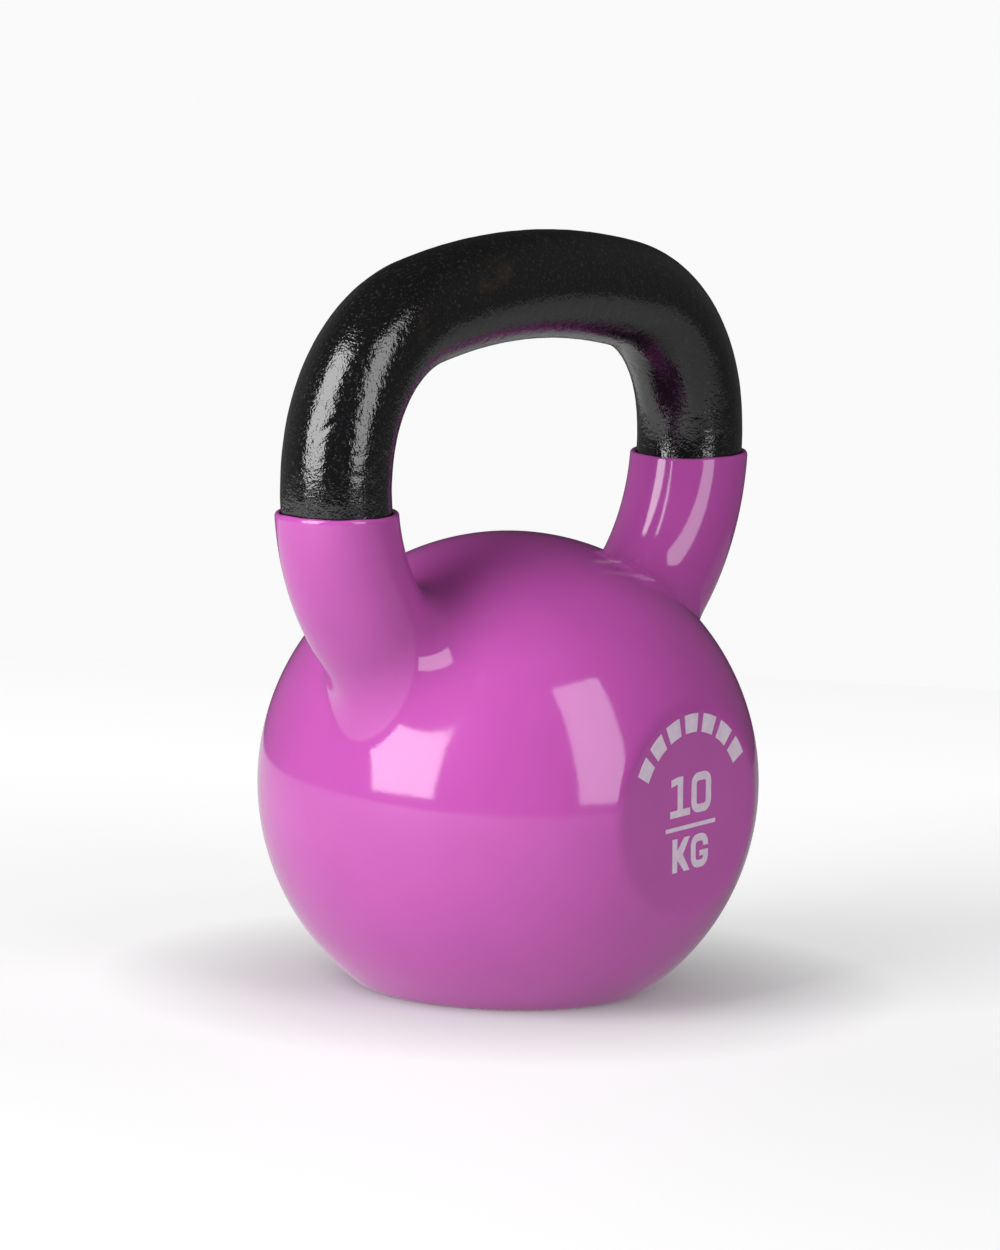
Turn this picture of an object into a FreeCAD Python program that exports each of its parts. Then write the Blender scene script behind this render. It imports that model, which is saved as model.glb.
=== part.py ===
import FreeCAD, Part
import math
import os

# A 10 kg kettlebell: one iron casting, a thick soft vinyl coat dipped over the ball and the
# feet of the horns, a gloss enamel film on the bare handle, and a weight mark printed on a
# round flat on the front of the ball.
# Millimetres. Origin: centre of the base on the floor. +X along the handle, +Z up,
# and the printed flat faces -Y.

# ---- driving dimensions ----
ball_radius = 65.8          # iron ball
base_flat_radius = 38.2     # flat base, up to the sharp edge that is then rounded
base_edge_radius = 1.2
front_flat_radius = 28.3    # round printed flat, up to its sharp edge
front_rim_radius = 6.5      # soft rounding round the printed flat

grip_radius = 14.4          # iron rod of the handle
window_height = 52.1        # clear height for the hand, coated ball top to enamelled bar
crown_radius = 202.0        # slow curve of the bar
crown_angle = 12.5          # from the middle of the bar to the start of a corner
corner_radius = 40.5
corner_angle = 67.4
side_radius = 57.4          # curve of each horn down to its straight foot
side_angle = 50.7
horn_fillet = 7.0           # casting fillet where a horn runs into the ball

coat_thickness = 1.8        # vinyl
coat_fillet = 9.0           # vinyl gathers in the corner at a horn's foot
coat_lip_radius = 0.8       # rounded edge of the vinyl at the dip line
dip_above_ball = 14.4       # dip line above the top of the coated ball, at the middle
dip_tilt = 1.9              # degrees, the vinyl stands a little higher on the +X horn
enamel_thickness = 0.25

ink_thickness = 0.15
mark_turn = 2.4             # degrees, the print sits a little anticlockwise on the flat
mark_shift = 0.8            # and a little to the right of its middle
numeral_height = 10.8
numeral_width = 8.5
numeral_stroke = 2.2
flag_inset = 0.4            # flag of the 1, in from the end of its foot
flag_drop = 0.5             # and how far it falls away from the top
flag_width = 1.9
letter_height = 9.1
letter_width = 7.4
letter_stroke = 2.0
letter_arm = 2.4            # arms of the K, measured level
letter_bar = 1.5            # bar of the G
letter_gap = 1.1            # opening in the side of the G
character_corner = 3.0      # outer corners of the 0 and the G
character_gap = 0.6
numeral_foot = -1.1         # bottom of the numerals, above the centre of the flat
rule_level = -4.25
rule_length = 21.4
rule_thickness = 1.1
letter_foot = -16.0
arch_margin = 0.9           # from the arch out to where the flat starts to round off
arch_height = 5.0
arch_span = 123.0           # degrees
arch_blocks = 7
arch_gap = 5.5              # degrees between neighbouring blocks

# ---- derived places ----
base_drop = math.sqrt(ball_radius**2 - base_flat_radius**2)      # ball centre to base
front_reach = math.sqrt(ball_radius**2 - front_flat_radius**2)   # ball centre to printed flat
ball_height = coat_thickness + base_drop
ball_centre = FreeCAD.Vector(0, 0, ball_height)
coat_top = ball_height + ball_radius + coat_thickness
bar_height = coat_top + window_height + enamel_thickness + grip_radius
dip_height = coat_top + dip_above_ball
ink_plane = -(front_reach + coat_thickness)
level_flat_radius = math.sqrt((ball_radius - front_rim_radius)**2 - (front_reach - front_rim_radius)**2)
arch_outer_radius = level_flat_radius - arch_margin
arch_inner_radius = arch_outer_radius - arch_height
reach = 2 * (bar_height + crown_radius)    # larger than the whole part
across = FreeCAD.Vector(0, 1, 0)


def place(x, z, y=0.0):
    return FreeCAD.Vector(x, y, z)


def edges_between(shape, first, second):
    """Edges of the shape where a face on one kind of surface meets one on the other."""
    found = []
    for edge in shape.Edges:
        kinds = [type(face.Surface) for face in shape.ancestorsOfType(edge, Part.Face)]
        if first in kinds and second in kinds:
            found.append(edge)
    return found


def half_space(point, normal):
    """A block that fills everything on the side of the point that normal points away from."""
    block = Part.makeBox(reach, reach, reach, place(-reach / 2, -reach, -reach / 2))
    turn = FreeCAD.Rotation(FreeCAD.Vector(0, 0, 1), normal)
    block.Placement = FreeCAD.Placement(point, turn)
    return block


def below_dip():
    angle = math.radians(dip_tilt)
    return half_space(place(0, dip_height), FreeCAD.Vector(-math.sin(angle), 0, math.cos(angle)))


# ---- the kettlebell's body, bare or grown outwards by a skin ----
def ball(skin):
    """Sphere with a flat base and a round flat on the front, their edges rounded."""
    base = half_space(place(0, ball_height - base_drop - skin), FreeCAD.Vector(0, 0, -1))
    front = half_space(place(0, 0, -front_reach - skin), FreeCAD.Vector(0, -1, 0))
    solid = Part.makeSphere(ball_radius + skin, ball_centre).common(base)
    solid = solid.makeFillet(base_edge_radius + skin, edges_between(solid, Part.Plane, Part.Sphere))
    solid = solid.common(front)
    return solid.makeFillet(front_rim_radius + skin, edges_between(solid, Part.Plane, Part.Sphere))


def bend_centre(centre, old_radius, new_radius, angle):
    """Centre of the next bend, on the line through the join so that the bends are tangent."""
    shift = old_radius - new_radius
    return centre + place(shift * math.sin(angle), shift * math.cos(angle))


def on_bend(centre, radius, angle):
    return centre + place(radius * math.sin(angle), radius * math.cos(angle))


def rod_end(point, angle, rod_radius):
    """Round face across the rod, where the rod's line has turned down by angle."""
    heading = place(math.cos(angle), -math.sin(angle))
    return Part.Face(Part.Wire(Part.makeCircle(rod_radius, point, heading)))


def rod_bend(centre, bend_radius, start, turn, rod_radius):
    face = rod_end(on_bend(centre, bend_radius, start), start, rod_radius)
    return face.revolve(centre, across, math.degrees(turn))


def handle(rod_radius):
    """Round rod along the handle: crown, two corners, two sides, two straight feet."""
    crown = math.radians(crown_angle)
    corner = math.radians(corner_angle)
    side = math.radians(side_angle)
    crown_centre = place(0, bar_height - crown_radius)
    corner_centre = bend_centre(crown_centre, crown_radius, corner_radius, crown)
    side_centre = bend_centre(corner_centre, corner_radius, side_radius, crown + corner)
    lean = crown + corner + side
    foot = on_bend(side_centre, side_radius, lean)
    heading = place(math.cos(lean), -math.sin(lean))
    # the straight foot runs on to its nearest approach to the ball's centre
    foot_length = (ball_centre - foot).dot(heading)
    half = [
        rod_bend(corner_centre, corner_radius, crown, corner, rod_radius),
        rod_bend(side_centre, side_radius, crown + corner, side, rod_radius),
        Part.makeCylinder(rod_radius, foot_length, foot, heading),
    ]
    other_half = [piece.mirror(place(0, 0), FreeCAD.Vector(1, 0, 0)) for piece in half]
    bar = rod_bend(crown_centre, crown_radius, -crown, 2 * crown, rod_radius)
    return bar.multiFuse(half + other_half)


def body(skin, root_fillet):
    """Ball and handle in one, with a fillet where each horn runs into the ball."""
    whole = ball(skin).fuse(handle(grip_radius + skin)).removeSplitter()
    seams = edges_between(whole, Part.Sphere, Part.Cylinder)
    seams += edges_between(whole, Part.Sphere, Part.Toroid)
    roots = [edge for edge in seams if on_horn_root(edge, grip_radius + skin)]
    return whole.makeFillet(root_fillet, roots)


def on_horn_root(edge, rod_radius):
    """True on the line where a horn meets the ball, which is no wider in Y than the horn."""
    box = edge.BoundBox
    return max(-box.YMin, box.YMax) < 1.1 * rod_radius and box.ZMin > ball_height


# ---- casting, coat and enamel ----
def make_vinyl_coat(casting):
    coat = body(coat_thickness, coat_fillet).common(below_dip())
    lip = [edge for edge in edges_between(coat, Part.Plane, Part.Toroid) if on_dip_line(edge)]
    return coat.makeFillet(coat_lip_radius, lip).cut(casting)


def on_dip_line(edge):
    return edge.BoundBox.ZMin > coat_top


def make_handle_enamel(casting):
    return handle(grip_radius + enamel_thickness).cut(below_dip()).cut(casting)


# ---- printed mark, drawn on the flat: x to the right, h up from its centre ----
def film(outline, holes=()):
    """Ink film on the coated flat, from a closed outline and any holes in it."""
    face = Part.makeFace([outline] + list(holes), "Part::FaceMakerBullseye")
    face.rotate(FreeCAD.Vector(0, 0, 0), across, -mark_turn)
    face.translate(FreeCAD.Vector(mark_shift, ink_plane, ball_height))
    return face.extrude(FreeCAD.Vector(0, -ink_thickness, 0))


def polygon(points):
    corners = [place(x, h) for x, h in points]
    return Part.makePolygon(corners + corners[:1])


def box_outline(left, right, foot, top):
    return polygon([(left, foot), (right, foot), (right, top), (left, top)])


def rounded_box(left, right, foot, top, radius):
    """Closed outline of a box with round corners."""
    edges = []
    corners = [(right, top, 0), (left, top, 90), (left, foot, 180), (right, foot, 270)]
    centres = []
    for x, h, start in corners:
        inward_x = x - math.copysign(radius, x - (left + right) / 2)
        inward_h = h - math.copysign(radius, h - (foot + top) / 2)
        centres.append((inward_x, inward_h, start))
    arcs = [corner_arc(x, h, radius, start) for x, h, start in centres]
    for index, arc in enumerate(arcs):
        following = arcs[(index + 1) % len(arcs)]
        edges.append(arc)
        edges.append(Part.makeLine(arc.Vertexes[-1].Point, following.Vertexes[0].Point))
    return Part.Wire(edges)


def corner_arc(x, h, radius, start):
    points = []
    for degrees in (start, start + 45, start + 90):
        angle = math.radians(degrees)
        points.append(place(x + radius * math.cos(angle), h + radius * math.sin(angle)))
    return Part.Arc(*points).toShape()


def make_numeral_one(left, foot):
    """Upright with a short flag at the top left and a foot across the bottom."""
    right = left + numeral_width
    top = foot + numeral_height
    middle = (left + right) / 2
    stem_left = middle - numeral_stroke / 2
    stem_right = middle + numeral_stroke / 2
    flag_left = left + flag_inset
    sole = foot + flag_width
    return film(polygon([
        (left, foot), (right, foot), (right, sole), (stem_right, sole), (stem_right, top),
        (stem_left, top), (flag_left, top - flag_drop), (flag_left, top - flag_drop - flag_width),
        (stem_left, top - flag_width), (stem_left, sole), (left, sole),
    ]))


def ring_outlines(left, foot, width, height, stroke):
    """Outer and inner outlines of a ring as wide as a character, its corners well rounded."""
    right = left + width
    top = foot + height
    outer = rounded_box(left, right, foot, top, character_corner)
    inner_corner = character_corner - stroke
    inner = rounded_box(left + stroke, right - stroke, foot + stroke, top - stroke, inner_corner)
    return outer, inner


def make_numeral_zero(left, foot):
    outer, inner = ring_outlines(left, foot, numeral_width, numeral_height, numeral_stroke)
    return film(outer, [inner])


def make_letter_k(left, foot):
    """Upright with two slanting arms that meet at its waist."""
    right = left + letter_width
    top = foot + letter_height
    stem = left + letter_stroke
    waist = foot + letter_height / 2
    half_arm = letter_arm / 2
    return film(polygon([
        (left, foot), (stem, foot), (stem, waist - half_arm), (right - letter_arm, foot),
        (right, foot), (stem + letter_arm, waist), (right, top), (right - letter_arm, top),
        (stem, waist + half_arm), (stem, top), (left, top),
    ]))


def make_letter_g(left, foot):
    """Ring with a gap on its right side and a bar that turns in from the gap."""
    outer, inner = ring_outlines(left, foot, letter_width, letter_height, letter_stroke)
    ring = film(outer, [inner])
    middle = left + letter_width / 2
    right = left + letter_width
    bar_top = foot + letter_height / 2
    # the opening cuts clean through the ring's right side and a little to each side of it
    opening = box_outline(middle, right + letter_stroke, bar_top, bar_top + letter_gap)
    bar = film(box_outline(middle, right, bar_top - letter_bar, bar_top))
    return ring.cut(film(opening)).fuse(bar).removeSplitter()


def make_divider_bar():
    half = rule_length / 2
    foot = rule_level - rule_thickness / 2
    return film(box_outline(-half, half, foot, foot + rule_thickness))


def arch_point(radius, degrees):
    angle = math.radians(degrees)
    return place(radius * math.cos(angle), radius * math.sin(angle))


def make_arch_block(number):
    """One block of the arch over the numerals, counted from the left."""
    width = (arch_span - arch_gap * (arch_blocks - 1)) / arch_blocks
    start = 90 + arch_span / 2 - number * (width + arch_gap)
    angles = (start, start - width / 2, start - width)
    outer = [arch_point(arch_outer_radius, angle) for angle in angles]
    inner = [arch_point(arch_inner_radius, angle) for angle in angles]
    return film(Part.Wire([
        Part.Arc(*outer).toShape(),
        Part.makeLine(outer[2], inner[2]),
        Part.Arc(*reversed(inner)).toShape(),
        Part.makeLine(inner[0], outer[0]),
    ]))


def make_mark():
    numerals = -numeral_width - character_gap / 2
    letters = -letter_width - character_gap / 2
    pieces = {
        "numeral_one": make_numeral_one(numerals, numeral_foot),
        "numeral_zero": make_numeral_zero(character_gap / 2, numeral_foot),
        "divider_bar": make_divider_bar(),
        "letter_k": make_letter_k(letters, letter_foot),
        "letter_g": make_letter_g(character_gap / 2, letter_foot),
    }
    for number in range(arch_blocks):
        pieces["arch_block_" + str(number + 1)] = make_arch_block(number)
    return pieces


def main():
    casting = body(0.0, horn_fillet)
    pieces = {
        "cast_body": casting,
        "vinyl_coat": make_vinyl_coat(casting),
        "handle_enamel": make_handle_enamel(casting),
    }
    pieces.update(make_mark())
    os.makedirs("parts", exist_ok=True)
    for name, shape in pieces.items():
        shape.exportStep("parts/" + name + ".step")
        box = shape.BoundBox
        print(name, "solids", len(shape.Solids), "volume", round(shape.Volume, 1),
              "box", round(box.XLength, 2), round(box.YLength, 2), round(box.ZLength, 2))


main()
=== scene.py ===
import math
import bpy
import numpy as np
from mathutils import Matrix, Vector


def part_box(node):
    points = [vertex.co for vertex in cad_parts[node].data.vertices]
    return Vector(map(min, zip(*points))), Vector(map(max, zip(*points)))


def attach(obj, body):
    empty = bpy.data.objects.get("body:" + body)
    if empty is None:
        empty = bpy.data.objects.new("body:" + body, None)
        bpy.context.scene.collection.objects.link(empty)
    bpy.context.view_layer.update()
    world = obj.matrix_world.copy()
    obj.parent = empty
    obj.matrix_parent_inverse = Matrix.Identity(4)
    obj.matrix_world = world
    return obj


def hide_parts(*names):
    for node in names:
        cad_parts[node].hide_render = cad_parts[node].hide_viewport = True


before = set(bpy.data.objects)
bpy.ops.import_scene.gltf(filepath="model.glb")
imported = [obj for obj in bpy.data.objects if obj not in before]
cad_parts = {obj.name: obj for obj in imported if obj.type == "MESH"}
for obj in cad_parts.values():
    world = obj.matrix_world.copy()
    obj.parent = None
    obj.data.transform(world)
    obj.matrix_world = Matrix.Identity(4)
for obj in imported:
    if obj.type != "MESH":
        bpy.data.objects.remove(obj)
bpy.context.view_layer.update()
print("frame loaded:", len(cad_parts), "pieces")


# Numpy helpers

def hashedValue(index, seed):
    # a fixed random number from -1 to 1 for each whole-number lattice corner
    mixed = index[..., 0] * 73856093 ^ index[..., 1] * 19349663
    mixed = mixed ^ index[..., 2] * 83492791 ^ seed * 26544357
    mixed = (mixed ^ mixed >> 13) * 1274126177
    mixed = mixed ^ mixed >> 16
    return (mixed & 0xffff) / 32767.5 - 1


def latticeNoise(points, cell, seed):
    # value noise: the eight corner numbers of a point's cube, blended with quintic weights
    place = points / cell
    low = np.floor(place).astype(np.int64)
    part = place - low
    weight = part ** 3 * (part * (part * 6 - 15) + 10)
    total = np.zeros(points.shape[:-1])
    for corner in np.ndindex(2, 2, 2):
        far = np.array(corner)
        share = np.prod(np.where(far == 1, weight, 1 - weight), axis=-1)
        total += share * hashedValue(low + far, seed)
    return total


def smoothStep(low, high, value):
    t = np.clip((value - low) / (high - low), 0, 1)
    return t * t * (3 - 2 * t)


def smoothMin(a, b, reach):
    # the lesser of two, rounded where they differ by less than reach
    h = np.maximum(reach - np.abs(a - b), 0) / reach
    return np.minimum(a, b) - h * h * reach / 4


def smoothMax(a, b, reach):
    return -smoothMin(-a, -b, reach)


def projectOnto(field, points, rounds):
    # Newton steps down the field's slope until each point lies where the field is nought
    nudge = 1e-5
    for _ in range(rounds):
        value = field(points)
        slope = np.stack([(field(points + nudge * axis) - field(points - nudge * axis)) / (2 * nudge)
                          for axis in np.eye(3)], axis=-1)
        points = points - slope * (value / np.sum(slope * slope, axis=-1))[..., None]
    return points


def gridQuads(rows, columns, flip=False, wrapRows=False):
    # four corners of each cell of a grid whose columns close into a ring
    row = np.arange(rows if wrapRows else rows - 1)[:, None]
    column = np.arange(columns)[None, :]
    nextRow = (row + 1) % rows
    nextColumn = (column + 1) % columns
    corners = [row * columns + column, row * columns + nextColumn,
               nextRow * columns + nextColumn, nextRow * columns + column]
    if flip:
        corners.reverse()
    return np.stack(corners, axis=-1).reshape(-1, 4)


def addPiece(name, points, quads):
    mesh = bpy.data.meshes.new(name)
    mesh.vertices.add(len(points))
    mesh.vertices.foreach_set("co", points.astype(np.float32).ravel())
    mesh.loops.add(quads.size)
    mesh.loops.foreach_set("vertex_index", quads.astype(np.int32).ravel())
    mesh.polygons.add(len(quads))
    mesh.polygons.foreach_set("loop_start", np.arange(0, quads.size, 4, dtype=np.int32))
    mesh.polygons.foreach_set("use_smooth", np.ones(len(quads), dtype=bool))
    mesh.update(calc_edges=True)
    mesh.validate()
    piece = bpy.data.objects.new(name, mesh)
    bpy.context.scene.collection.objects.link(piece)
    return piece


# The line of the handle: a crown, a corner and a side bend, then a straight foot, each half alike

line = {
    "bends": [(0.202, 12.5), (0.0405, 67.4), (0.0574, 50.7)],   # radius, degrees turned
    "barTop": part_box("handle_enamel")[1].z,
    "enamelRadius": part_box("handle_enamel")[1].y,
}
line["radii"] = np.array([bend[0] for bend in line["bends"]])
line["turns"] = np.radians([bend[1] for bend in line["bends"]])
line["starts"] = np.concatenate([[0], np.cumsum(line["turns"])[:-1]])
line["lengths"] = line["radii"] * line["turns"]
line["lean"] = line["turns"].sum()
line["height"] = line["barTop"] - line["enamelRadius"]


def handleLine(s):
    # signed distance s along the line from its middle gives x, z and the angle it has turned down;
    # each bend adds radius * (sin, cos) differences, and the straight foot adds its heading
    left = np.abs(s)
    x = np.zeros_like(left)
    z = np.full_like(left, line["height"])
    angle = np.zeros_like(left)
    bends = zip(line["radii"], line["turns"], line["starts"], line["lengths"])
    for radius, turn, start, length in bends:
        turned = np.clip(left / radius, 0, turn)
        x += radius * (np.sin(start + turned) - np.sin(start))
        z += radius * (np.cos(start + turned) - np.cos(start))
        angle += turned
        left = left - length
    straight = np.maximum(left, 0)
    x += straight * math.cos(line["lean"])
    z -= straight * math.sin(line["lean"])
    return x * np.sign(s), z, angle


def tubePoint(s, around, radius):
    # a point on a round rod about the line; around is 0 on the outer side and turns towards +Y
    x, z, angle = handleLine(s)
    outward = np.cos(around) * radius
    return np.stack([x + outward * np.sin(angle) * np.sign(s), np.sin(around) * radius + 0 * s,
                     z + outward * np.cos(angle)], axis=-1)


# Vinyl coat

coat = {
    "ballRadius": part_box("vinyl_coat")[1].y,
    "frontPlane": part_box("divider_bar")[1].y,
    "thickness": 0.0018,
    "baseFlatRadius": 0.0382,      # of the iron inside
    "hornRadius": 0.0162,
    "dipHeight": 0.137377,         # dip line where the line of symmetry crosses it
    "dipTilt": math.radians(1.9),
    "frontRounding": 0.00078,
    "baseRounding": 0.00056,
    "footRounding": (0.0068, 0.0138),   # least, at the back of each horn's foot, and most
    "footMost": (0.766, 0.643),         # outward and front shares of where it is most
    "ironFootRounding": 0.8,            # share of it left on the iron
    "lipRounding": 0.0009,
    "lipRipple": 0.00022,
    "lipSteps": [(0.01473, 0.0016), (0.01473, 0.00035), (0.0149, 0.0001)],   # radius, depth
    "wave": 0.00005,
    "waveCells": (0.021, 0.047),
    "around": 240,
    "hornRows": 60,
    "ballRows": 92,
    "innerRows": (8, 21, 5),            # over the ball, round the horn's foot and up the horn
    "footRows": (86, 44),               # of the outer wall, where the inner wall is fine
    "hornRowKept": 8,
}
ironRadius = coat["ballRadius"] - coat["thickness"]
ballHeight = coat["thickness"] + math.sqrt(ironRadius ** 2 - coat["baseFlatRadius"] ** 2)
sideBend = line["starts"][2]
upperBends = list(zip(line["radii"][:2], line["turns"][:2], line["starts"][:2]))
sideCentreX = sum(r * (math.sin(a + t) - math.sin(a)) for r, t, a in upperBends)
sideCentreX -= line["radii"][2] * math.sin(sideBend)
sideCentreZ = line["height"] + sum(r * (math.cos(a + t) - math.cos(a)) for r, t, a in upperBends)
sideCentreZ -= line["radii"][2] * math.cos(sideBend)
footX = sideCentreX + line["radii"][2] * math.sin(line["lean"])
footZ = sideCentreZ + line["radii"][2] * math.cos(line["lean"])
footHeading = (math.cos(line["lean"]), -math.sin(line["lean"]))
footLength = -footX * footHeading[0] + (ballHeight - footZ) * footHeading[1]


def hornDistance(points):
    # distance to the side bend where a point lies beside it, else to the straight foot, and how far
    # the point lies towards the foot's outer side and its front, each from -1 to 1
    x = np.abs(points[..., 0])
    y = points[..., 1]
    z = points[..., 2]
    fromX = x - sideCentreX
    fromZ = z - sideCentreZ
    beside = np.arctan2(fromX, fromZ)
    bend = np.hypot(np.hypot(fromX, fromZ) - line["radii"][2], y)
    along = np.clip((x - footX) * footHeading[0] + (z - footZ) * footHeading[1], 0, footLength)
    asideX = x - footX - along * footHeading[0]
    asideZ = z - footZ - along * footHeading[1]
    foot = np.sqrt(asideX ** 2 + asideZ ** 2 + y * y)
    outward = (asideX * -footHeading[1] + asideZ * footHeading[0]) / coat["hornRadius"]
    front = -y / coat["hornRadius"]
    size = np.maximum(np.hypot(outward, front), 0.1)
    distance = np.where((beside > sideBend / 2) & (beside < line["lean"]), bend, foot)
    return distance, outward / size, front / size


def coatField(points, inset=0.0, foot=1.0):
    # below nought inside the coat: ball, cut flat below and in front, blended into both horns
    fromCentre = points - np.array([0, 0, ballHeight])
    ball = np.sqrt(np.sum(fromCentre ** 2, axis=-1)) - coat["ballRadius"] + inset
    ball = smoothMax(ball, inset - points[..., 2], coat["baseRounding"])
    ball = smoothMax(ball, coat["frontPlane"] + inset - points[..., 1], coat["frontRounding"])
    horn, outward, front = hornDistance(points)
    least, most = coat["footRounding"]
    towardMost = coat["footMost"][0] * outward + coat["footMost"][1] * front
    gathered = 0.72 * smoothStep(-0.9, 0.1, front) + 0.28 * smoothStep(0.2, 1, towardMost)
    reach = foot * (least + (most - least) * gathered)
    return smoothMin(ball, horn - coat["hornRadius"] + inset, reach)


def ironField(points):
    return coatField(points, inset=coat["thickness"] - 0.00005, foot=coat["ironFootRounding"])


def overDip(points):
    # height above the tilted dip line
    return points[..., 2] - coat["dipHeight"] - points[..., 0] * math.tan(coat["dipTilt"])


def dipPlace(around, radius, side, below=0.0):
    # where each line along the rod crosses the dip line, found by halving the stretch it lies in
    low = np.full_like(around, line["lengths"][:2].sum() * 0.9)
    high = np.full_like(around, line["lengths"].sum())
    for _ in range(40):
        middle = (low + high) / 2
        above = overDip(tubePoint(side * middle, around, radius)) > -below
        low = np.where(above, middle, low)
        high = np.where(above, high, middle)
    return (low + high) / 2


def coatHalf(side):
    # rings run up the inner wall, over the lip and down the outer wall to the middle of the ball
    around = np.linspace(0, 2 * math.pi, coat["around"], endpoint=False)
    ripple = coat["lipRipple"] * (np.sin(2 * around + side) + 0.6 * np.sin(5 * around + 2 * side)
                                  + 0.4 * np.sin(9 * around + 4 * side)) / 2
    lip = dipPlace(around, coat["hornRadius"], side) + ripple + coat["lipRipple"]
    rootLength = line["lengths"].sum() + rootAlongFoot()
    # outer wall of the horn
    share = np.linspace(0, 1, coat["hornRows"])[:, None]
    s = (lip + coat["lipRounding"]) * (1 - share) + rootLength * share
    horn = tubePoint(side * s, np.broadcast_to(around, s.shape), coat["hornRadius"])
    # outer wall of the ball: circles whose axis swings from the horn's foot to the X axis
    rootX = footX + rootAlongFoot() * footHeading[0]
    rootZ = footZ + rootAlongFoot() * footHeading[1]
    rootTilt = math.atan2(rootZ - ballHeight, rootX)
    share = np.linspace(0, 1, coat["ballRows"] + 1)[1:, None]
    ball = ballRings(share, rootTilt, around, side)
    wall = np.concatenate([horn, ball])
    wall[-1, :, 0] = 0
    wall = relaxWall(wall, coatField, 40)
    # the lip: a quarter round outside, a narrow top, and a step back to the iron
    rolled = lipRings(lip, around, side)
    inner = innerWall(wall)
    return np.concatenate([inner, rolled, wall])


def rootAlongFoot():
    # how far down the straight foot its line enters the ball
    toCentre = np.array([0 - footX, ballHeight - footZ])
    nearest = toCentre @ np.array(footHeading)
    aside = toCentre @ toCentre - nearest ** 2
    return nearest - math.sqrt(coat["ballRadius"] ** 2 - aside)


def ballRings(share, rootTilt, around, side):
    # the first ring is a quarter wider than the horn, and the last is the ball's middle
    first = math.asin(coat["hornRadius"] * 1.25 / coat["ballRadius"])
    spread = first + (math.pi / 2 - first) * share
    tilt = rootTilt * (1 - share)
    axis = np.stack([np.cos(tilt), 0 * tilt, np.sin(tilt)], axis=-1)
    outer = np.stack([np.sin(tilt), 0 * tilt, -np.cos(tilt)], axis=-1)   # downwards, where around is 0
    across = np.array([0, 1, 0])
    ring = np.cos(around)[None, :, None] * outer + np.sin(around)[None, :, None] * across
    direction = np.cos(spread)[..., None] * axis + np.sin(spread)[..., None] * ring
    points = direction * coat["ballRadius"] + np.array([0, 0, ballHeight])
    points[..., 0] *= side
    return points


def relaxWall(wall, field, rounds):
    # each ring drifts to the middle of its neighbours and is drawn back onto the surface
    for _ in range(rounds):
        beside = np.roll(wall, 1, axis=1)[1:-1] + np.roll(wall, -1, axis=1)[1:-1]
        near = (wall[:-2] + wall[2:] + beside) / 4
        wall[1:-1] += 0.45 * (near - wall[1:-1])
        wall[1:] = projectOnto(field, wall[1:], 1)
        wall[-1, :, 0] = 0
    return projectOnto(field, wall, 3)


def lipRings(lip, around, side):
    # radius and depth below the top: set steps inside, then a quarter circle's cosine and sine
    turn = np.radians([4, 26, 48, 70, 90])[::-1, None]
    rounding = coat["lipRounding"]
    outer = coat["hornRadius"] - rounding + rounding * np.cos(turn)
    down = rounding - rounding * np.sin(turn)
    quarterAround = np.broadcast_to(around, (len(turn), len(around)))
    quarter = tubePoint(side * (lip + down), quarterAround, outer)
    step = np.array(coat["lipSteps"])
    stepAround = np.broadcast_to(around, (len(step), len(around)))
    inside = tubePoint(side * (lip + step[:, 1:2]), stepAround, step[:, 0:1])
    return np.concatenate([inside, quarter])


def innerWall(wall):
    # the outer wall's own rings, drawn in onto the iron, and thinned out away from the horn's foot
    ballCount, footCount, hornCount = coat["innerRows"]
    footBegin, footEnd = coat["footRows"]
    pick = np.concatenate([np.linspace(len(wall) - 1, footBegin, ballCount, endpoint=False),
                           np.linspace(footBegin, footEnd, footCount, endpoint=False),
                           np.linspace(footEnd, coat["hornRowKept"], hornCount)])
    pick = np.round(pick).astype(int)
    inner = projectOnto(ironField, wall[pick], 8)
    inner[0, :, 0] = 0
    return inner


def coatSurface():
    halves = [coatHalf(1), coatHalf(-1)]
    rows = len(halves[0])
    columns = coat["around"]
    # the second half gives up its first and last rings, and uses those of the first
    points = np.concatenate([halves[0].reshape(-1, 3), halves[1][1:-1].reshape(-1, 3)])
    first = gridQuads(rows, columns, flip=True)
    second = gridQuads(rows, columns)
    row = second // columns
    shared = (row == 0) | (row == rows - 1)
    moved = np.where(shared, second, second + (rows - 1) * columns)
    return waved(points), np.concatenate([first, moved])


def waved(points):
    # the dipped skin is never quite true: it draws in a little, in slow waves, but not on the printed flat
    slow = 0.5 + 0.5 * latticeNoise(points, coat["waveCells"][0], 3)
    slower = 0.5 + 0.5 * latticeNoise(points, coat["waveCells"][1], 8)
    off = smoothStep(0.0004, 0.004, points[:, 1] - coat["frontPlane"])
    off *= smoothStep(0.0001, 0.003, points[:, 2])
    depth = coat["wave"] * (0.45 * slow + 0.55 * slower) * off
    outward = points - np.array([0, 0, ballHeight])
    outward /= np.linalg.norm(outward, axis=1)[:, None]
    return points - outward * depth[:, None]


points, quads = coatSurface()
vinylCoat = addPiece("vinyl_skin", points, quads)
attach(vinylCoat, "root")
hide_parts("vinyl_coat")
print("vinyl coat:", len(quads), "quads")


# Handle enamel

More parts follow.
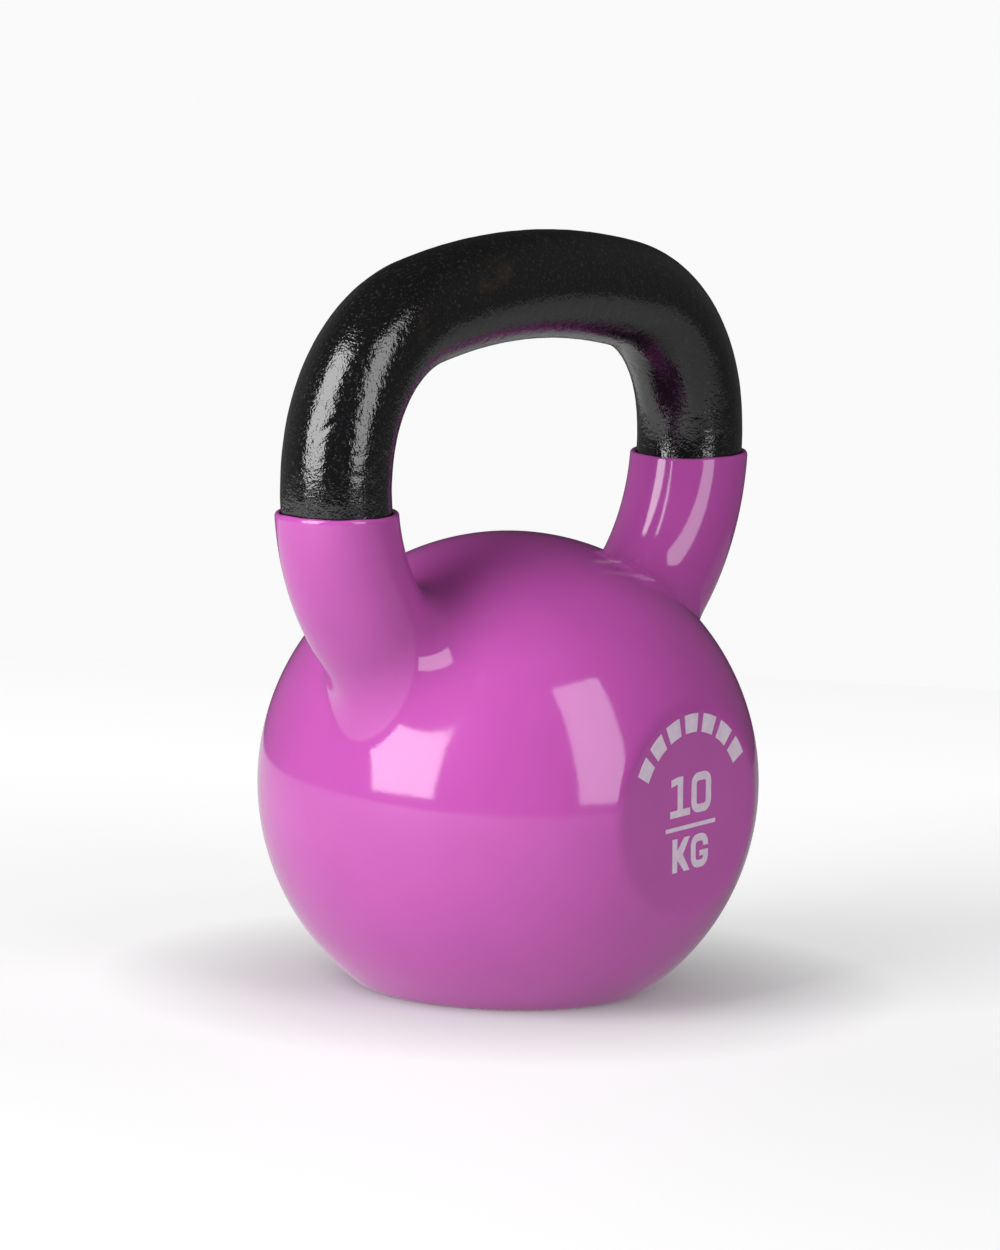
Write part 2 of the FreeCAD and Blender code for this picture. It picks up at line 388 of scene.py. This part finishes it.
enamel = {
    "radius": line["enamelRadius"],
    "ironRadius": 0.01441,
    "tuck": 0.0013,           # how far it runs in under the vinyl's lip
    "around": 192,
    "along": 420,
    "innerRows": 60,
    "lumps": 0.00009,         # slow unevenness of the casting
    "lumpCells": (0.011, 0.0055),
    "grain": 0.00006,         # sand-cast skin
    "grainCells": (0.0021, 0.0011),
    "pits": 0.00008,
    "pitCell": 0.0026,
    "runs": 0.00007,          # paint gathered just above each collar
    "runCell": 0.0042,
    "runBand": 0.013,
    "clearance": 0.00002,     # least thickness of the film
    "scarDepth": 0.00021,
    "scarWidth": 0.00055,
    "scarBow": 0.0009,
    "scarMiddle": (-0.0868, 5.76),     # along the line, and radians round it
    "scarHalf": (0.0054, -0.37),       # from its middle to its end
    "ringMiddle": (-0.0905, 5.44),
    "ringRadius": 0.0040,
    "ringWidth": 0.0004,
    "ringDepth": 0.00007,
}


def enamelSurface():
    # rings run along the film from the -X lip to the +X lip and back along its inner wall
    around = np.linspace(0, 2 * math.pi, enamel["around"], endpoint=False)
    leftEnd = dipPlace(around, enamel["radius"], -1, below=enamel["tuck"])
    rightEnd = dipPlace(around, enamel["radius"], 1, below=enamel["tuck"])
    share = np.linspace(0, 1, enamel["along"])[:, None]
    s = -leftEnd * (1 - share) + rightEnd * share
    everyAngle = np.broadcast_to(around, s.shape)
    flat = tubePoint(s, everyAngle, enamel["radius"])
    aboveLip = np.minimum(s + leftEnd, rightEnd - s)
    depth = castDepth(flat) + runDepth(flat, aboveLip) + scarDepth(s, everyAngle)
    depth = np.clip(depth, 0, enamel["radius"] - enamel["ironRadius"] - enamel["clearance"])
    outer = tubePoint(s, everyAngle, enamel["radius"] - depth)
    share = np.linspace(1, 0, enamel["innerRows"])[:, None]
    s = -leftEnd * (1 - share) + rightEnd * share
    inner = tubePoint(s, np.broadcast_to(around, s.shape), enamel["ironRadius"])
    rings = np.concatenate([outer, inner])
    return rings.reshape(-1, 3), gridQuads(len(rings), len(around), flip=True, wrapRows=True)


def castDepth(points):
    # depth below the full radius: slow lumps, sandy grain and a few small pits
    coarse, medium = enamel["lumpCells"]
    lumps = 0.5 + 0.25 * latticeNoise(points, coarse, 21) + 0.25 * latticeNoise(points, medium, 22)
    sandy, fine = enamel["grainCells"]
    grain = 0.5 + 0.3 * latticeNoise(points, sandy, 31) + 0.2 * latticeNoise(points, fine, 32)
    pits = smoothStep(0.45, 0.85, latticeNoise(points, enamel["pitCell"], 41))
    return enamel["lumps"] * lumps + enamel["grain"] * grain + enamel["pits"] * pits


def runDepth(points, aboveLip):
    # beads and hollows in the paint, fading out up the handle
    beads = 0.5 + 0.5 * latticeNoise(points, enamel["runCell"], 51)
    return enamel["runs"] * beads * (1 - smoothStep(0.4, 1, aboveLip / enamel["runBand"]))


def scarDepth(s, around):
    # a short bowed crack across the -X leg, deepest midway, and a worn ring beside it; each is a
    # bell curve of the distance to its line
    along = s - enamel["scarMiddle"][0]
    across = (around - enamel["scarMiddle"][1]) * enamel["radius"]
    halfAlong = enamel["scarHalf"][0]
    halfAcross = enamel["scarHalf"][1] * enamel["radius"]
    size = math.hypot(halfAlong, halfAcross)
    share = (along * halfAlong + across * halfAcross) / size ** 2
    bow = enamel["scarBow"] * (1 - np.minimum(share ** 2, 1))
    aside = (along * halfAcross - across * halfAlong) / size - bow
    beyond = np.maximum(np.abs(share) - 1, 0) * size
    crack = np.exp(-(np.hypot(aside, beyond) / enamel["scarWidth"]) ** 2)
    crack *= 1 - 0.6 * np.minimum(np.abs(share), 1)
    ringAcross = (around - enamel["ringMiddle"][1]) * enamel["radius"]
    fromMiddle = np.hypot(s - enamel["ringMiddle"][0], ringAcross)
    ring = np.exp(-((fromMiddle - enamel["ringRadius"]) / enamel["ringWidth"]) ** 2)
    return enamel["scarDepth"] * crack + enamel["ringDepth"] * ring


points, quads = enamelSurface()
handleEnamel = addPiece("handle_film", points, quads)
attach(handleEnamel, "root")
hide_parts("handle_enamel")
print("handle enamel:", len(quads), "quads")


# Materials

def newMaterial(name):
    material = bpy.data.materials.new(name)
    material.use_nodes = True
    nodes = material.node_tree.nodes
    return material, nodes, material.node_tree.links, nodes["Principled BSDF"]


def noiseNode(nodes, links, scale, detail=2.0, roughness=0.5):
    coordinates = nodes.new("ShaderNodeTexCoord")
    noise = nodes.new("ShaderNodeTexNoise")
    noise.inputs["Scale"].default_value = scale
    noise.inputs["Detail"].default_value = detail
    noise.inputs["Roughness"].default_value = roughness
    links.new(coordinates.outputs["Object"], noise.inputs["Vector"])
    return noise


def rangeNode(nodes, links, source, low, high, fromLow=0.3, fromHigh=0.7):
    spread = nodes.new("ShaderNodeMapRange")
    spread.inputs["From Min"].default_value = fromLow
    spread.inputs["From Max"].default_value = fromHigh
    spread.inputs["To Min"].default_value = low
    spread.inputs["To Max"].default_value = high
    links.new(source, spread.inputs["Value"])
    return spread.outputs["Result"]


def mixColours(nodes, links, factor, first, second):
    mix = nodes.new("ShaderNodeMix")
    mix.data_type = "RGBA"
    if isinstance(first, tuple):
        mix.inputs["A"].default_value = (*first, 1)
    else:
        links.new(first, mix.inputs["A"])
    mix.inputs["B"].default_value = (*second, 1)
    links.new(factor, mix.inputs["Factor"])
    return mix.outputs["Result"]


def bumpNode(nodes, links, height, distance, below=None):
    bump = nodes.new("ShaderNodeBump")
    bump.inputs["Strength"].default_value = 1
    bump.inputs["Distance"].default_value = distance
    links.new(height, bump.inputs["Height"])
    if below is not None:
        links.new(below, bump.inputs["Normal"])
    return bump.outputs["Normal"]


vinylLook = {
    "deep": (0.372, 0.063, 0.302),
    "light": (0.411, 0.071, 0.332),
    "peelScale": 420,
    "peelDepth": 0.000012,
}


def vinylMaterial():
    material, nodes, links, shader = newMaterial("glossy_vinyl")
    tint = noiseNode(nodes, links, 28, 3)
    factor = rangeNode(nodes, links, tint.outputs["Fac"], 0, 1)
    tinted = mixColours(nodes, links, factor, vinylLook["deep"], vinylLook["light"])
    links.new(tinted, shader.inputs["Base Color"])
    haze = noiseNode(nodes, links, 55, 4)
    links.new(rangeNode(nodes, links, haze.outputs["Fac"], 0.07, 0.12), shader.inputs["Roughness"])
    peel = noiseNode(nodes, links, vinylLook["peelScale"], 2)
    peeled = bumpNode(nodes, links, peel.outputs["Fac"], vinylLook["peelDepth"])
    links.new(peeled, shader.inputs["Normal"])
    shader.inputs["IOR"].default_value = 1.5
    return material


enamelLook = {
    "black": (0.005, 0.005, 0.0055),
    "worn": (0.018, 0.013, 0.008),
    # pale specks: partly grey-brown flecks in the paint, partly a painted sparkle
    "speckAndSparkle": (0.028, 0.025, 0.023),
    "speckScale": 1100,
    "sandScale": 700,
    "sandDepth": 0.00012,
    "fineScale": 1700,
    "fineDepth": 0.00008,
}


def enamelMaterial():
    material, nodes, links, shader = newMaterial("black_enamel")
    wear = noiseNode(nodes, links, 60, 6, 0.65)
    factor = rangeNode(nodes, links, wear.outputs["Fac"], 0, 1, 0.62, 0.72)
    worn = mixColours(nodes, links, factor, enamelLook["black"], enamelLook["worn"])
    # pale specks over the black, partly the paint's own flecks and partly a painted sparkle standing in
    # for glints; the same noise sets the roughness
    specks = noiseNode(nodes, links, enamelLook["speckScale"], 3, 0.6)
    speckAndSparkleMask = rangeNode(nodes, links, specks.outputs["Fac"], 0, 1, 0.56, 0.70)
    links.new(mixColours(nodes, links, speckAndSparkleMask, worn, enamelLook["speckAndSparkle"]), shader.inputs["Base Color"])
    dulled = rangeNode(nodes, links, specks.outputs["Fac"], 0.05, 0.24, 0.45, 0.75)
    links.new(dulled, shader.inputs["Roughness"])
    sand = noiseNode(nodes, links, enamelLook["sandScale"], 2, 0.5)
    sandy = bumpNode(nodes, links, sand.outputs["Fac"], enamelLook["sandDepth"])
    fine = noiseNode(nodes, links, enamelLook["fineScale"], 1)
    both = bumpNode(nodes, links, fine.outputs["Fac"], enamelLook["fineDepth"], below=sandy)
    links.new(both, shader.inputs["Normal"])
    shader.inputs["IOR"].default_value = 1.60
    return material


inkLook = {
    "pale": (0.66, 0.55, 0.66),
    "thin": (0.58, 0.46, 0.58),
    "grainDepth": 0.00001,
}


def inkMaterial():
    material, nodes, links, shader = newMaterial("printed_ink")
    cover = noiseNode(nodes, links, 500, 3)
    factor = rangeNode(nodes, links, cover.outputs["Fac"], 0, 1)
    covered = mixColours(nodes, links, factor, inkLook["pale"], inkLook["thin"])
    links.new(covered, shader.inputs["Base Color"])
    links.new(rangeNode(nodes, links, cover.outputs["Fac"], 0.35, 0.5), shader.inputs["Roughness"])
    grained = bumpNode(nodes, links, cover.outputs["Fac"], inkLook["grainDepth"])
    links.new(grained, shader.inputs["Normal"])
    return material


ironLook = {
    "dark": (0.05, 0.048, 0.046),
    "pale": (0.11, 0.10, 0.095),
    "grainDepth": 0.0001,
}


def ironMaterial():
    material, nodes, links, shader = newMaterial("rough_cast_iron")
    skin = noiseNode(nodes, links, 90, 6, 0.6)
    factor = rangeNode(nodes, links, skin.outputs["Fac"], 0, 1)
    skinned = mixColours(nodes, links, factor, ironLook["dark"], ironLook["pale"])
    links.new(skinned, shader.inputs["Base Color"])
    links.new(rangeNode(nodes, links, skin.outputs["Fac"], 0.5, 0.75), shader.inputs["Roughness"])
    grain = noiseNode(nodes, links, 700, 4)
    grained = bumpNode(nodes, links, grain.outputs["Fac"], ironLook["grainDepth"])
    links.new(grained, shader.inputs["Normal"])
    shader.inputs["Metallic"].default_value = 0.8
    return material


def dress(piece, material):
    piece.data.materials.clear()
    piece.data.materials.append(material)


dress(vinylCoat, vinylMaterial())
dress(handleEnamel, enamelMaterial())
dress(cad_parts["cast_body"], ironMaterial())
ink = inkMaterial()
for name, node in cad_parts.items():
    if name.startswith(("numeral", "letter", "divider", "arch")):
        dress(node, ink)
print("materials done")


# Table, lights and camera

studio = {
    "tableReach": (0.75, 0.57),  # across the camera's view and along it
    "azimuth": -51.43,          # camera, degrees round from -Y towards +X
    "elevation": 8.23,
    "distance": 1.893,
    "roll": 1.81,
    "lens": 202.8,
    "aim": (-0.0035, 0.09775),  # sideways, and height above the table
    "room": 0.025,
    "leftWall": 0.12,
    "rightWall": 0.08,
    "backdrop": 0.95,
    "tableShade": 0.41,
    # painted glow of the table as the camera sees it
    "tablePaintedGlow": (0.53, 0.76),  # near the camera and far from it
    "board": 0.50,
    # painted glow of the board, lighting the object from below
    "boardPaintedGlow": 0.50,          # on the key light's side, hardly any on the other
    # azimuth from the camera, elevation, distance, width, height and power
    "softboxes": {
        "key": (-48, 28, 1.2, 0.73, 1.36, 25.5),
        "window": (43, 24, 1.3, 0.55, 1.27, 9.8),
    },
    "softboxAim": (0, 0, 0.08),
}


def facing(azimuth, elevation):
    a = math.radians(azimuth)
    e = math.radians(elevation)
    return Vector((math.sin(a) * math.cos(e), -math.cos(a) * math.cos(e), math.sin(e)))


def addCamera():
    a = math.radians(studio["azimuth"])
    back = facing(studio["azimuth"], studio["elevation"])
    right = Vector((math.cos(a), math.sin(a), 0))
    up = back.cross(right)
    roll = math.radians(studio["roll"])
    turnedRight = right * math.cos(roll) + up * math.sin(roll)
    turnedUp = up * math.cos(roll) - right * math.sin(roll)
    target = right * studio["aim"][0] + Vector((0, 0, studio["aim"][1]))
    data = bpy.data.cameras.new("camera")
    data.sensor_width = 36
    data.lens = studio["lens"]
    data.clip_end = 50
    camera = bpy.data.objects.new("camera", data)
    place = Matrix((turnedRight, turnedUp, back)).transposed().to_4x4()
    place.translation = target + back * studio["distance"]
    camera.matrix_world = place
    bpy.context.scene.collection.objects.link(camera)
    bpy.context.scene.camera = camera


def addTable():
    turn = np.linspace(0, 2 * math.pi, 256, endpoint=False)
    across = np.array(facing(studio["azimuth"] + 90, 0)) * studio["tableReach"][0]
    along = np.array(facing(studio["azimuth"], 0)) * studio["tableReach"][1]
    rim = np.sin(turn)[:, None] * across - np.cos(turn)[:, None] * along
    mesh = bpy.data.meshes.new("table")
    mesh.from_pydata(rim.tolist(), [], [list(range(256))])
    table = bpy.data.objects.new("table", mesh)
    bpy.context.scene.collection.objects.link(table)
    material, nodes, links, shader = newMaterial("white_table")
    shader.inputs["Base Color"].default_value = (*[studio["tableShade"]] * 3, 1)
    shader.inputs["Roughness"].default_value = 0.6
    shader.inputs["Emission Color"].default_value = (1, 1, 1, 1)
    # painted glow: the table as the camera sees it glows, more so at the back, with a painted shadow where
    # the object stands
    place = nodes.new("ShaderNodeTexCoord").outputs["Object"]
    deep = nodes.new("ShaderNodeVectorMath")
    deep.operation = "DOT_PRODUCT"
    deep.inputs[1].default_value = -facing(studio["azimuth"], 0)
    links.new(place, deep.inputs[0])
    paintedGlow = rangeNode(nodes, links, deep.outputs["Value"], *studio["tablePaintedGlow"], -0.10, 0.35)
    distance = nodes.new("ShaderNodeVectorMath")
    distance.operation = "LENGTH"
    links.new(place, distance.inputs[0])
    # painted shadow: the glow drops to a fifth close round the object's base
    clear = rangeNode(nodes, links, distance.outputs["Value"], 0.2, 1.0, 0.035, 0.11)
    glowWithPaintedShadow = nodes.new("ShaderNodeMath")
    glowWithPaintedShadow.operation = "MULTIPLY"
    links.new(paintedGlow, glowWithPaintedShadow.inputs[0])
    links.new(clear, glowWithPaintedShadow.inputs[1])
    links.new(glowWithPaintedShadow.outputs["Value"], shader.inputs["Emission Strength"])
    # what the gloss mirrors, and what lights the object from below, is the board, with a painted glow
    # strongest on the key light's side
    board = nodes.new("ShaderNodeBsdfPrincipled")
    board.inputs["Base Color"].default_value = (*[studio["board"]] * 3, 1)
    board.inputs["Roughness"].default_value = 0.8
    board.inputs["Emission Color"].default_value = (1, 1, 1, 1)
    keyward = nodes.new("ShaderNodeVectorMath")
    keyward.operation = "DOT_PRODUCT"
    keyward.inputs[1].default_value = facing(studio["azimuth"] - 85, 0)
    links.new(place, keyward.inputs[0])
    boardPaintedGlow = rangeNode(nodes, links, keyward.outputs["Value"], 0.03, studio["boardPaintedGlow"], -0.16, 0.20)
    links.new(boardPaintedGlow, board.inputs["Emission Strength"])
    seen = nodes.new("ShaderNodeLightPath")
    mix = nodes.new("ShaderNodeMixShader")
    links.new(seen.outputs["Is Camera Ray"], mix.inputs["Fac"])
    links.new(board.outputs["BSDF"], mix.inputs[1])
    links.new(shader.outputs["BSDF"], mix.inputs[2])
    links.new(mix.outputs["Shader"], nodes["Material Output"].inputs["Surface"])
    dress(table, material)


def addSoftbox(name, azimuth, elevation, distance, width, height, power):
    data = bpy.data.lights.new(name, "AREA")
    data.shape = "RECTANGLE"
    data.size = width
    data.size_y = height
    data.energy = power
    box = bpy.data.objects.new(name, data)
    toward = facing(azimuth + studio["azimuth"], elevation)
    box.location = Vector(studio["softboxAim"]) + toward * distance
    box.rotation_euler = toward.to_track_quat("Z", "Y").to_euler()
    bpy.context.scene.collection.objects.link(box)


def addWorld():
    # plain white behind the table; what the gloss mirrors is a dark room with a pale wall on each side
    world = bpy.data.worlds.new("studio")
    world.use_nodes = True
    nodes = world.node_tree.nodes
    links = world.node_tree.links
    direction = nodes.new("ShaderNodeTexCoord").outputs["Generated"]
    azimuth = studio["azimuth"]
    toLeft = facing(azimuth - 125, -6)
    toRight = facing(azimuth + 110, 0)
    leftWall = towardNode(nodes, links, direction, toLeft, 0.60, 0.92, studio["leftWall"])
    rightWall = towardNode(nodes, links, direction, toRight, 0.40, 0.90, studio["rightWall"])
    walls = addValues(nodes, links, leftWall, rightWall)
    room = nodes["Background"]
    room.inputs["Color"].default_value = (1, 1, 1, 1)
    links.new(addValues(nodes, links, walls, studio["room"]), room.inputs["Strength"])
    backdrop = nodes.new("ShaderNodeBackground")
    backdrop.inputs["Color"].default_value = (*[studio["backdrop"]] * 3, 1)
    seen = nodes.new("ShaderNodeLightPath")
    mix = nodes.new("ShaderNodeMixShader")
    links.new(seen.outputs["Is Camera Ray"], mix.inputs["Fac"])
    links.new(room.outputs["Background"], mix.inputs[1])
    links.new(backdrop.outputs["Background"], mix.inputs[2])
    links.new(mix.outputs["Shader"], nodes["World Output"].inputs["Surface"])
    bpy.context.scene.world = world


def addValues(nodes, links, first, second):
    total = nodes.new("ShaderNodeMath")
    links.new(first, total.inputs[0])
    if isinstance(second, float):
        total.inputs[1].default_value = second
    else:
        links.new(second, total.inputs[1])
    return total.outputs["Value"]


def towardNode(nodes, links, direction, axis, low, high, strength):
    # up to full strength as a direction's dot product with an axis goes from low to high
    dot = nodes.new("ShaderNodeVectorMath")
    dot.operation = "DOT_PRODUCT"
    dot.inputs[1].default_value = axis
    links.new(direction, dot.inputs[0])
    spread = nodes.new("ShaderNodeMapRange")
    spread.interpolation_type = "SMOOTHSTEP"
    spread.inputs["From Min"].default_value = low
    spread.inputs["From Max"].default_value = high
    spread.inputs["To Max"].default_value = strength
    links.new(dot.outputs["Value"], spread.inputs["Value"])
    return spread.outputs["Result"]


addCamera()
addTable()
for name, settings in studio["softboxes"].items():
    addSoftbox(name, *settings)
addWorld()
bpy.context.scene.view_settings.view_transform = "Standard"
print("studio done")
